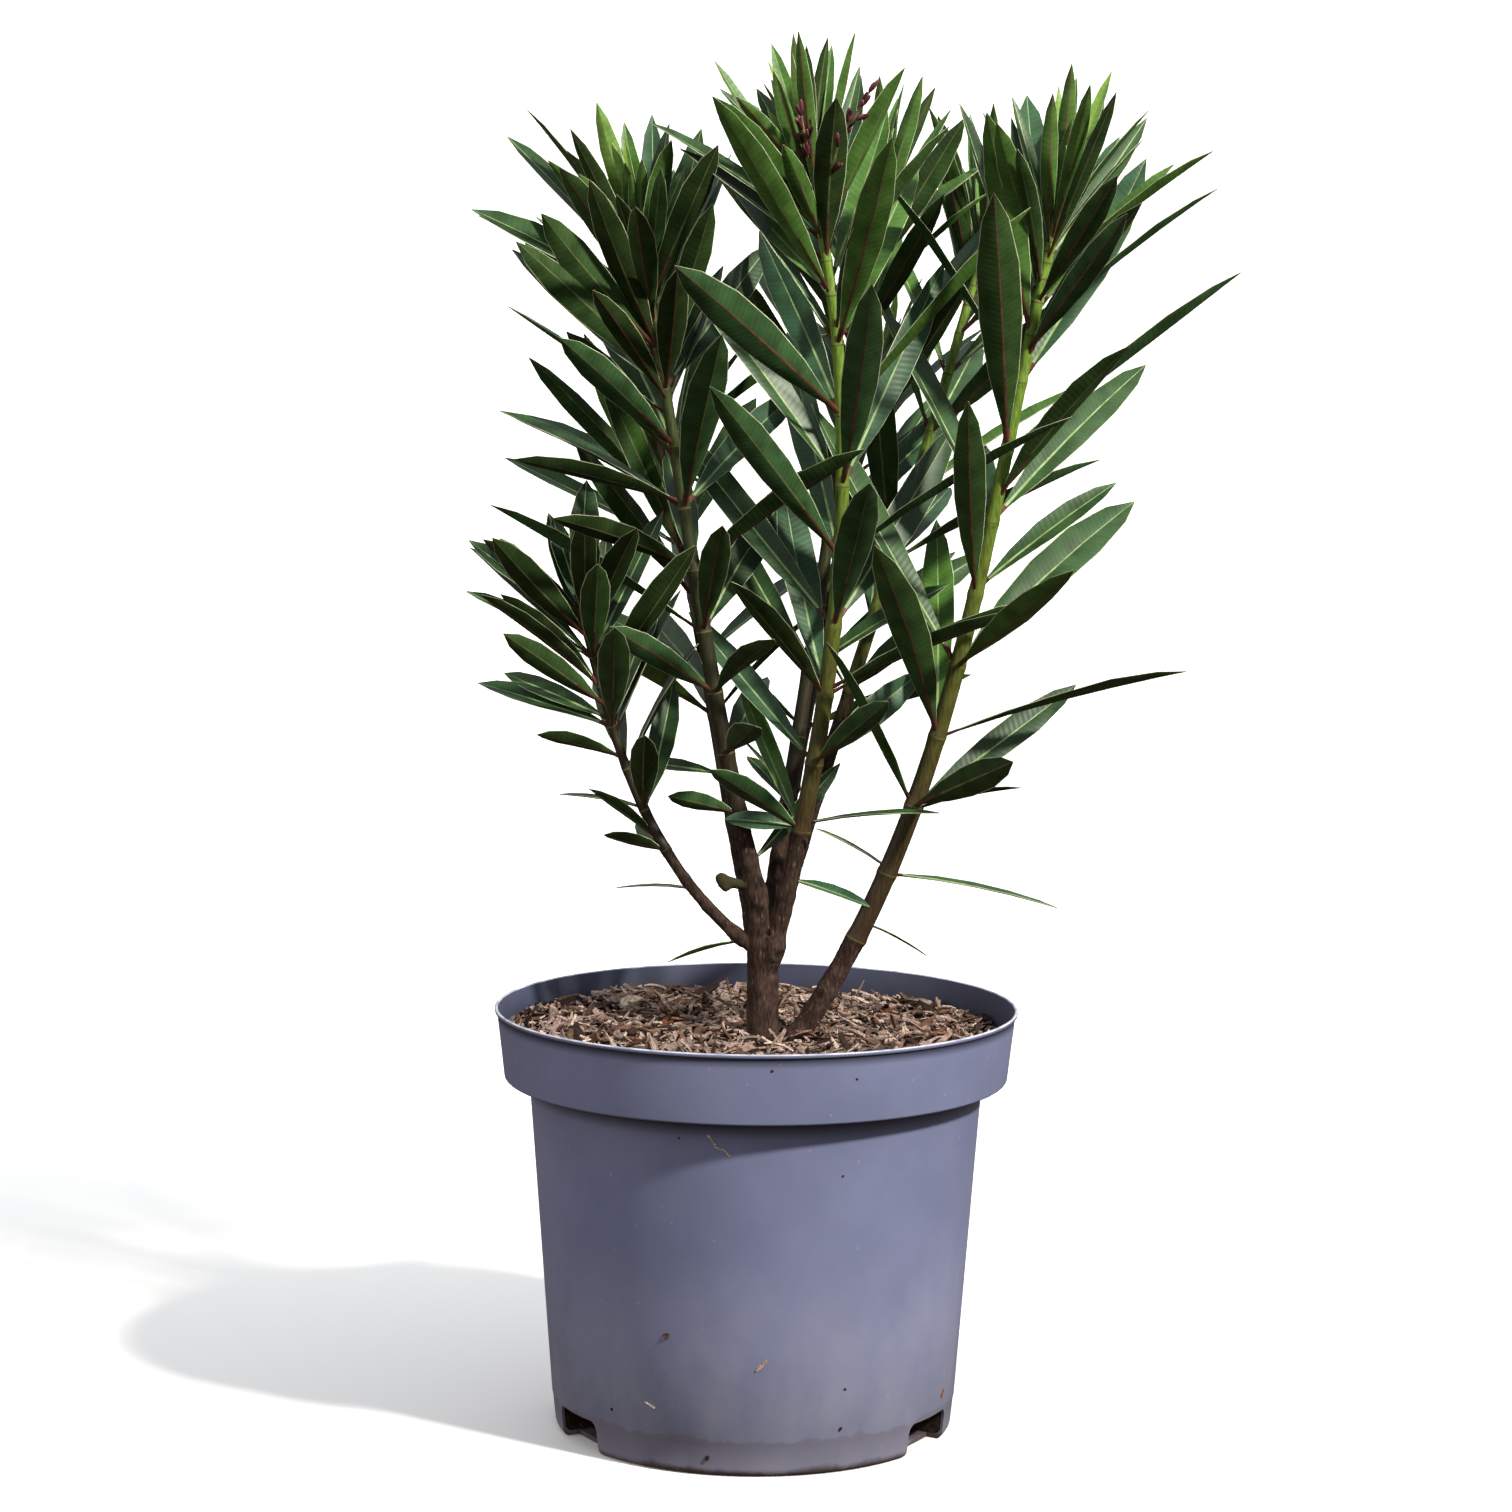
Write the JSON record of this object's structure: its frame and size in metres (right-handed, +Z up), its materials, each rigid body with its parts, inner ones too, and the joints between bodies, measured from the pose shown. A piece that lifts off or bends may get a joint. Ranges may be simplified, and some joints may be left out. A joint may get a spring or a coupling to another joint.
{
  "type": "potted oleander shrub",
  "caption": "Young evergreen oleander shrub with upright leafy stems in a round plastic nursery pot that stands on its flat underside.",
  "frame": {"origin": "centre of the pot's flat underside, where it stands", "axes": "+Z up along the pot's axis, +X to the right and +Y to the back as the picture shows the plant"},
  "size_m": [0.4026, 0.3585, 0.7378],
  "materials": {
    "pot_plastic": "moulded matte grey polypropylene, slightly blue, with dust and light scratches",
    "bark_mulch": "loose shredded bark, dry and matte",
    "bark": "thin grey-brown bark that turns green on the younger wood",
    "foliage": "leathery evergreen leaves, semi-gloss above and matte below"
  },
  "bodies": {
    "root": {"pot": "pot_plastic", "mulch": "bark_mulch", "trunk": "bark", "bough_centre": "bark", "foliage_centre": "foliage", "stem_right": "bark", "foliage_right": "foliage", "bough_left": "bark", "foliage_left": "foliage", "bough_left_low": "bark", "foliage_left_low": "foliage", "bough_centre_back": "bark", "foliage_centre_back": "foliage", "bough_right_back": "bark", "foliage_right_back": "foliage", "bough_left_back": "bark", "foliage_left_back": "foliage", "bough_back": "bark", "foliage_back": "foliage"}
  },
  "joints": []
}
